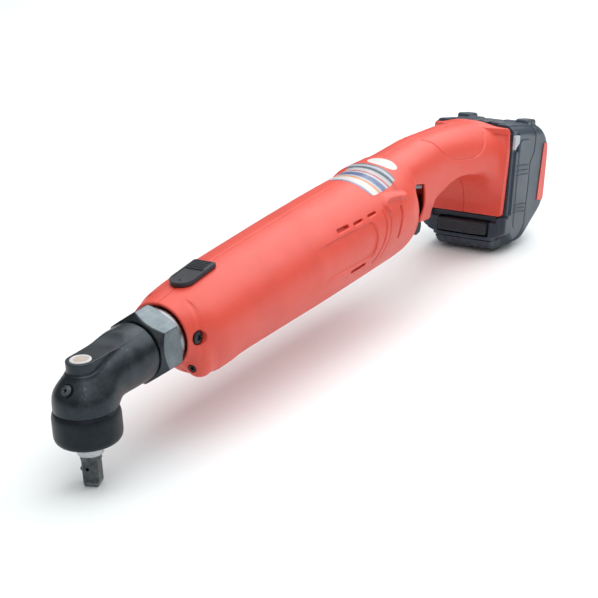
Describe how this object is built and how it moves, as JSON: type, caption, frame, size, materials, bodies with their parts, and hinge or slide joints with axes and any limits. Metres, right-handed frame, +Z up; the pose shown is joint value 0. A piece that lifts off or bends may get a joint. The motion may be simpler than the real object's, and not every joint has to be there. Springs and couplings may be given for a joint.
{
  "type": "angle nutrunner",
  "caption": "Cordless right-angle nutrunner: black steel angle head with a square drive, hex coupling nut, long red clamshell barrel, drooping grip with trigger, slide-on battery pack.",
  "frame": {"origin": "on the spindle axis at the shoulder of the square drive", "axes": "+X along the barrel from the battery to the angle head, +Y to the operator's left, +Z up the spindle axis; the square drive points along -Z"},
  "size_m": [0.5508, 0.072, 0.1086],
  "materials": {
    "housing_red": "fine moulded texture, satin",
    "black_plastic": "fine moulded texture",
    "pack_plastic": "moulded, satin, dark slate",
    "grey_plastic": "moulded, satin",
    "head_steel": "black phosphated steel with rubbed edges",
    "nut_steel": "burnished steel",
    "bright_alloy": "turned and polished",
    "drive_steel": "oil blackened, worn bright at the tip",
    "gear_steel": "hobbed and hardened",
    "case_alloy": "die cast",
    "bronze": "sintered",
    "copper": "drawn copper",
    "seal_rubber": "moulded",
    "magnet": "sintered ferrite",
    "motor_steel": "drawn, zinc plated",
    "board": "glass fibre board with lacquer",
    "plug_white": "moulded",
    "screw_steel": "blackened",
    "cell_wrap": "shrink wrapped can",
    "red_strip": "plain printed film"
  },
  "bodies": {
    "tool": {"housing_left": "housing_red", "housing_right": "housing_red", "front_screws": "screw_steel", "housing_screws": "screw_steel", "angle_head": "head_steel", "head_cap": "head_steel", "top_plug": "plug_white", "grease_fitting": "screw_steel", "neck_ring": "gear_steel", "coupling_nut": "nut_steel", "gear_case": "bright_alloy", "gear_case_cover": "case_alloy", "ring_gear": "gear_steel", "spindle_bushing": "bronze", "spindle_bearing": "gear_steel", "spindle_seal": "seal_rubber", "shaft_bearings": "gear_steel", "motor_can": "motor_steel", "motor_magnets": "magnet", "motor_end_bell": "black_plastic", "brush_holders": "bronze", "motor_brushes": "magnet", "motor_bearings": "gear_steel", "switch_body": "black_plastic", "control_board": "board", "terminal_block": "black_plastic", "terminal_blades": "copper"},
    "spindle": {"output_spindle": "drive_steel", "bevel_gear": "gear_steel", "detent_spring": "gear_steel"},
    "detent": {"detent_pin": "drive_steel"},
    "drive": {"drive_shaft": "gear_steel", "bevel_pinion": "gear_steel", "output_carrier": "gear_steel", "output_carrier_pins": "gear_steel"},
    "first_stage": {"first_carrier": "gear_steel", "first_carrier_pins": "gear_steel"},
    "rotor": {"rotor_shaft": "gear_steel", "rotor_core": "motor_steel", "cooling_fan": "black_plastic", "commutator": "copper"},
    "trigger": {"trigger": "black_plastic", "trigger_spring": "gear_steel"},
    "direction": {"direction_lever": "grey_plastic"},
    "selector": {"selector_slide": "black_plastic"},
    "battery": {"battery_front_shell": "pack_plastic", "battery_rear_shell": "pack_plastic", "battery_cells": "cell_wrap", "battery_board": "board", "battery_contacts": "copper", "battery_strip": "red_strip", "battery_rail_caps": "grey_plastic", "button_springs": "gear_steel"},
    "release_button": {"battery_button": "black_plastic"},
    "planet_1a": {"planet_1a": "gear_steel"},
    "planet_1b": {"planet_1b": "gear_steel"},
    "planet_1c": {"planet_1c": "gear_steel"},
    "planet_2a": {"planet_2a": "gear_steel"},
    "planet_2b": {"planet_2b": "gear_steel"},
    "planet_2c": {"planet_2c": "gear_steel"}
  },
  "joints": [
    {"name": "motor_spin", "type": "hinge", "parent": "tool", "child": "rotor", "pos_m": [-0.21, 0, 0.046], "axis": [1, 0, 0], "continuous": true},
    {"name": "first_stage_spin", "type": "hinge", "parent": "tool", "child": "first_stage", "pos_m": [-0.157, 0, 0.046], "axis": [1, 0, 0], "continuous": true},
    {"name": "drive_spin", "type": "hinge", "parent": "tool", "child": "drive", "pos_m": [-0.1, 0, 0.046], "axis": [1, 0, 0], "continuous": true},
    {"name": "spindle_spin", "type": "hinge", "parent": "tool", "child": "spindle", "pos_m": [0, 0, 0], "axis": [0, 0, 1], "continuous": true},
    {"name": "planet_1a_spin", "type": "hinge", "parent": "first_stage", "child": "planet_1a", "pos_m": [-0.1655, 0.0135, 0.046], "axis": [1, 0, 0], "continuous": true},
    {"name": "planet_1b_spin", "type": "hinge", "parent": "first_stage", "child": "planet_1b", "pos_m": [-0.1655, -0.00675, 0.05769], "axis": [1, 0, 0], "continuous": true},
    {"name": "planet_1c_spin", "type": "hinge", "parent": "first_stage", "child": "planet_1c", "pos_m": [-0.1655, -0.00675, 0.03431], "axis": [1, 0, 0], "continuous": true},
    {"name": "planet_2a_spin", "type": "hinge", "parent": "drive", "child": "planet_2a", "pos_m": [-0.148, 0.0135, 0.046], "axis": [1, 0, 0], "continuous": true},
    {"name": "planet_2b_spin", "type": "hinge", "parent": "drive", "child": "planet_2b", "pos_m": [-0.148, -0.00675, 0.05769], "axis": [1, 0, 0], "continuous": true},
    {"name": "planet_2c_spin", "type": "hinge", "parent": "drive", "child": "planet_2c", "pos_m": [-0.148, -0.00675, 0.03431], "axis": [1, 0, 0], "continuous": true},
    {"name": "detent_press", "type": "slide", "parent": "spindle", "child": "detent", "axis": [-0.342, 0.9397, 0], "range_m": [0, 0.0018], "stiffness_N_per_m": 500, "springref_m": -0.001, "deforming": ["detent_spring"]},
    {"name": "trigger_pull", "type": "slide", "parent": "tool", "child": "trigger", "axis": [0, 0, 1], "range_m": [0, 0.005], "stiffness_N_per_m": 700, "springref_m": -0.004, "deforming": ["trigger_spring"]},
    {"name": "direction_shift", "type": "slide", "parent": "tool", "child": "direction", "axis": [0, 1, 0], "range_m": [-0.003, 0.003]},
    {"name": "selector_shift", "type": "slide", "parent": "tool", "child": "selector", "axis": [0.9951, 0, -0.0993], "range_m": [0, 0.007]},
    {"name": "battery_slide", "type": "slide", "parent": "tool", "child": "battery", "axis": [0.2334, 0, -0.9724], "range_m": [0, 0.078]},
    {"name": "release_press", "type": "slide", "parent": "battery", "child": "release_button", "axis": [-0.9724, 0, -0.2334], "range_m": [0, 0.0022], "stiffness_N_per_m": 600, "springref_m": -0.002, "deforming": ["button_springs"]}
  ],
  "couplings": [
    {"joint": "first_stage_spin", "follows": "motor_spin", "ratio": 0.22222},
    {"joint": "drive_spin", "follows": "motor_spin", "ratio": 0.049383},
    {"joint": "spindle_spin", "follows": "motor_spin", "ratio": -0.03057},
    {"joint": "planet_1a_spin", "follows": "motor_spin", "ratio": -0.62222},
    {"joint": "planet_1b_spin", "follows": "motor_spin", "ratio": -0.62222},
    {"joint": "planet_1c_spin", "follows": "motor_spin", "ratio": -0.62222},
    {"joint": "planet_2a_spin", "follows": "motor_spin", "ratio": -0.13827},
    {"joint": "planet_2b_spin", "follows": "motor_spin", "ratio": -0.13827},
    {"joint": "planet_2c_spin", "follows": "motor_spin", "ratio": -0.13827}
  ]
}
